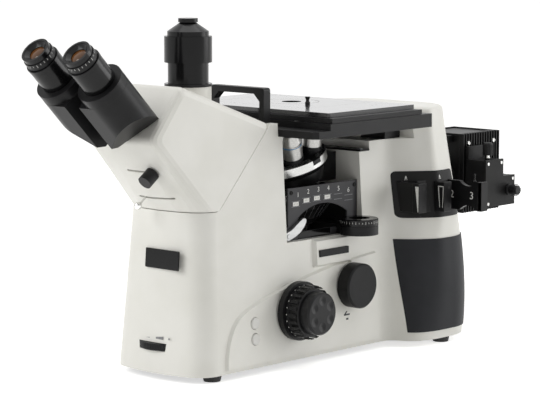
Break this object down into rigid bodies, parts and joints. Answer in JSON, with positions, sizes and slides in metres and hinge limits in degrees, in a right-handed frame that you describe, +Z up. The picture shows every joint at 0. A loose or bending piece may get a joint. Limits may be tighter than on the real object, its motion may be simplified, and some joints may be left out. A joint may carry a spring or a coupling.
{
  "type": "inverted microscope",
  "caption": "Inverted epi-illumination microscope with a tilted objective nosepiece, mechanical stage, camera port and rear lamp house",
  "frame": {"origin": "middle of the bounding box on the bench plane", "axes": "+X to the user's right, +Y to the rear, +Z up; the user sits at -Y"},
  "size_m": [0.316, 0.7893, 0.424],
  "materials": {
    "paint_cream": "satin off-white enamel on cast metal",
    "paint_dark": "dark grey enamel",
    "black_rubber": "black rubber",
    "cream_plastic": "off-white moulded plastic",
    "black_metal": "black anodised aluminium",
    "black_plastic": "matte black plastic",
    "steel": "ground steel",
    "bulb_glass": "clear bulb glass",
    "lens_glass": "coated lens glass",
    "chrome": "bright plated metal",
    "silver_metal": "clear anodised aluminium"
  },
  "bodies": {
    "stand": {"main_frame": "paint_cream", "rear_column": "paint_cream", "base_plate": "paint_dark", "feet": "black_rubber", "side_covers": "paint_cream", "rear_side_panels": "paint_dark", "illuminator_panel": "paint_dark", "head_shell": "cream_plastic", "camera_port_base": "paint_cream", "carry_handle": "black_metal", "pivot_pin": "steel", "stage_base": "black_metal", "number_panel": "paint_dark", "illuminator_tube": "black_metal", "lamp_house": "black_metal", "lamp_holder": "black_plastic", "lamp_bulb": "bulb_glass", "power_inlet": "black_plastic"},
    "camera_tube": {"camera_adapter": "black_metal"},
    "camera_cap": {"camera_port_cap": "black_plastic"},
    "viewing_tube_right": {"eyepiece_body_right": "cream_plastic"},
    "viewing_tube_left": {"eyepiece_body_left": "cream_plastic"},
    "eyepiece_unit_right": {"eyepiece_right": "black_metal", "eye_lens_right": "lens_glass"},
    "eyepiece_unit_left": {"eyepiece_left": "black_metal", "eye_lens_left": "lens_glass"},
    "dioptre_right": {"dioptre_ring_right": "black_plastic"},
    "dioptre_left": {"dioptre_ring_left": "black_plastic"},
    "stage_lower": {"stage_y_plate": "black_metal"},
    "stage_upper": {"stage_x_plate": "black_metal"},
    "insert": {"stage_insert": "black_metal", "stage_clip_post": "chrome"},
    "y_knob": {"stage_y_knob": "black_metal"},
    "x_knob": {"stage_x_knob": "black_metal"},
    "nosepiece": {"nosepiece_bracket": "black_metal"},
    "turret": {"objective_turret": "silver_metal", "objective_1": "silver_metal", "objective_2": "silver_metal", "objective_3": "silver_metal", "objective_4": "silver_metal"},
    "contrast_wheel": {"contrast_turret": "black_metal"},
    "polariser_slide": {"polariser_tray": "black_metal"},
    "polariser_dial": {"polariser_ring": "black_metal"},
    "analyser": {"analyser_slider": "black_plastic"},
    "path_lever": {"light_path_lever": "chrome"},
    "coarse_focus": {"coarse_knobs": "black_plastic"},
    "fine_focus": {"fine_knobs": "black_plastic"},
    "tension": {"tension_ring": "black_plastic"},
    "port_cap": {"side_port_cap": "black_plastic"},
    "button_upper": {"upper_button": "cream_plastic"},
    "button_lower": {"lower_button": "cream_plastic"},
    "dial": {"intensity_dial": "black_plastic"},
    "beam_selector": {"beam_knob": "black_plastic"},
    "filter_lever": {"ball_lever": "chrome"},
    "field_slider": {"field_stop_slider": "black_plastic"},
    "aperture_stop": {"aperture_slider": "black_plastic"},
    "filters": {"filter_slider": "black_plastic"},
    "lamp_screw_vertical": {"lamp_knob_vertical": "black_plastic"},
    "lamp_screw_side": {"lamp_knob_side": "black_plastic"}
  },
  "joints": [
    {"name": "camera_tube_turn", "type": "hinge", "parent": "stand", "child": "camera_tube", "pos_m": [0, -0.166, 0.36], "axis": [0, 0, 1], "continuous": true},
    {"name": "camera_cap_lift", "type": "slide", "parent": "camera_tube", "child": "camera_cap", "axis": [0, 0, 1], "range_m": [0, 0.02]},
    {"name": "viewing_tube_swing_right", "type": "hinge", "parent": "stand", "child": "viewing_tube_right", "pos_m": [0, -0.31845, 0.35696], "axis": [0, -0.7071, 0.7071], "range_deg": [-12, 12]},
    {"name": "viewing_tube_swing_left", "type": "hinge", "parent": "stand", "child": "viewing_tube_left", "pos_m": [0, -0.31138, 0.34989], "axis": [0, -0.7071, 0.7071], "range_deg": [-12, 12]},
    {"name": "eyepiece_pull_right", "type": "slide", "parent": "viewing_tube_right", "child": "eyepiece_unit_right", "axis": [0, -0.7071, 0.7071], "range_m": [0, 0.018]},
    {"name": "eyepiece_pull_left", "type": "slide", "parent": "viewing_tube_left", "child": "eyepiece_unit_left", "axis": [0, -0.7071, 0.7071], "range_m": [0, 0.018]},
    {"name": "dioptre_turn_right", "type": "hinge", "parent": "eyepiece_unit_right", "child": "dioptre_right", "pos_m": [0.0338, -0.37233, 0.38793], "axis": [0, -0.7071, 0.7071], "range_deg": [-180, 180]},
    {"name": "dioptre_turn_left", "type": "hinge", "parent": "eyepiece_unit_left", "child": "dioptre_left", "pos_m": [-0.0338, -0.37233, 0.38793], "axis": [0, -0.7071, 0.7071], "range_deg": [-180, 180]},
    {"name": "stage_y", "type": "slide", "parent": "stand", "child": "stage_lower", "axis": [0, 1, 0], "range_m": [-0.03, 0.02]},
    {"name": "stage_x", "type": "slide", "parent": "stage_lower", "child": "stage_upper", "axis": [1, 0, 0], "range_m": [-0.02, 0.06]},
    {"name": "insert_lift", "type": "slide", "parent": "stage_upper", "child": "insert", "axis": [0, 0, 1], "range_m": [0, 0.015]},
    {"name": "stage_y_knob_turn", "type": "hinge", "parent": "stage_lower", "child": "y_knob", "pos_m": [-0.134, -0.01, 0.27], "axis": [0, 0, 1], "range_deg": [-280, 190]},
    {"name": "stage_x_knob_turn", "type": "hinge", "parent": "stage_lower", "child": "x_knob", "pos_m": [-0.134, -0.01, 0.25], "axis": [0, 0, 1], "range_deg": [-190, 550]},
    {"name": "focus_travel", "type": "slide", "parent": "stand", "child": "nosepiece", "axis": [0, 0, 1], "range_m": [-0.002, 0.006]},
    {"name": "nosepiece_turn", "type": "hinge", "parent": "nosepiece", "child": "turret", "pos_m": [0, 0.00319, 0.25114], "axis": [0, -0.309, 0.9511], "continuous": true},
    {"name": "contrast_wheel_turn", "type": "hinge", "parent": "stand", "child": "contrast_wheel", "pos_m": [0, 0.012, 0.185], "axis": [0, 0, 1], "continuous": true},
    {"name": "polariser_slide_out", "type": "slide", "parent": "stand", "child": "polariser_slide", "axis": [1, 0, 0], "range_m": [0, 0.03]},
    {"name": "polariser_turn", "type": "hinge", "parent": "polariser_slide", "child": "polariser_dial", "pos_m": [0.0814, 0.053, 0.167], "axis": [0, 0, 1], "continuous": true},
    {"name": "analyser_pull", "type": "slide", "parent": "stand", "child": "analyser", "axis": [1, 0, 0], "range_m": [0, 0.05]},
    {"name": "light_path_swing", "type": "hinge", "parent": "stand", "child": "path_lever", "pos_m": [0.06, -0.056, 0.1575], "axis": [1, 0, 0], "range_deg": [-20, 35]},
    {"name": "coarse_turn", "type": "hinge", "parent": "stand", "child": "coarse_focus", "pos_m": [0, -0.0583, 0.0694], "axis": [1, 0, 0], "range_deg": [-25, 65]},
    {"name": "fine_turn", "type": "hinge", "parent": "coarse_focus", "child": "fine_focus", "pos_m": [0, -0.0583, 0.0694], "axis": [1, 0, 0], "continuous": true},
    {"name": "tension_turn", "type": "hinge", "parent": "stand", "child": "tension", "pos_m": [0.082, -0.0583, 0.0694], "axis": [1, 0, 0], "range_deg": [-60, 60]},
    {"name": "port_cap_pull", "type": "slide", "parent": "stand", "child": "port_cap", "axis": [1, 0, 0], "range_m": [0, 0.03]},
    {"name": "upper_button_press", "type": "slide", "parent": "stand", "child": "button_upper", "axis": [-1, 0, 0], "range_m": [0, 0.002], "stiffness_N_per_m": 300},
    {"name": "lower_button_press", "type": "slide", "parent": "stand", "child": "button_lower", "axis": [-1, 0, 0], "range_m": [0, 0.002], "stiffness_N_per_m": 300},
    {"name": "dial_turn", "type": "hinge", "parent": "stand", "child": "dial", "pos_m": [0, -0.19427, 0.0398], "axis": [0, 0, 1], "range_deg": [-140, 140]},
    {"name": "beam_selector_slide", "type": "slide", "parent": "stand", "child": "beam_selector", "axis": [1, 0, 0], "range_m": [-0.04, 0.001]},
    {"name": "filter_lever_slide", "type": "slide", "parent": "stand", "child": "filter_lever", "axis": [1, 0, 0], "range_m": [-0.0095, 0.0445]},
    {"name": "field_slider_pull", "type": "slide", "parent": "stand", "child": "field_slider", "axis": [1, 0, 0], "range_m": [-0.01, 0.02]},
    {"name": "aperture_slider_pull", "type": "slide", "parent": "stand", "child": "aperture_stop", "axis": [1, 0, 0], "range_m": [0, 0.02]},
    {"name": "filter_slider_pull", "type": "slide", "parent": "stand", "child": "filters", "axis": [1, 0, 0], "range_m": [-0.01, 0.04]},
    {"name": "lamp_screw_vertical_turn", "type": "hinge", "parent": "stand", "child": "lamp_screw_vertical", "pos_m": [0.063, 0.3395, 0.225], "axis": [0, 0, 1], "range_deg": [-180, 180]},
    {"name": "lamp_screw_side_turn", "type": "hinge", "parent": "stand", "child": "lamp_screw_side", "pos_m": [0.08, 0.3705, 0.1773], "axis": [1, 0, 0], "range_deg": [-180, 180]}
  ],
  "couplings": [
    {"joint": "viewing_tube_swing_left", "follows": "viewing_tube_swing_right", "ratio": -1},
    {"joint": "stage_y_knob_turn", "follows": "stage_y", "rad_per_m": 157.08},
    {"joint": "stage_x_knob_turn", "follows": "stage_x", "rad_per_m": 157.08},
    {"joint": "coarse_turn", "follows": "focus_travel", "rad_per_m": 166.66}
  ]
}
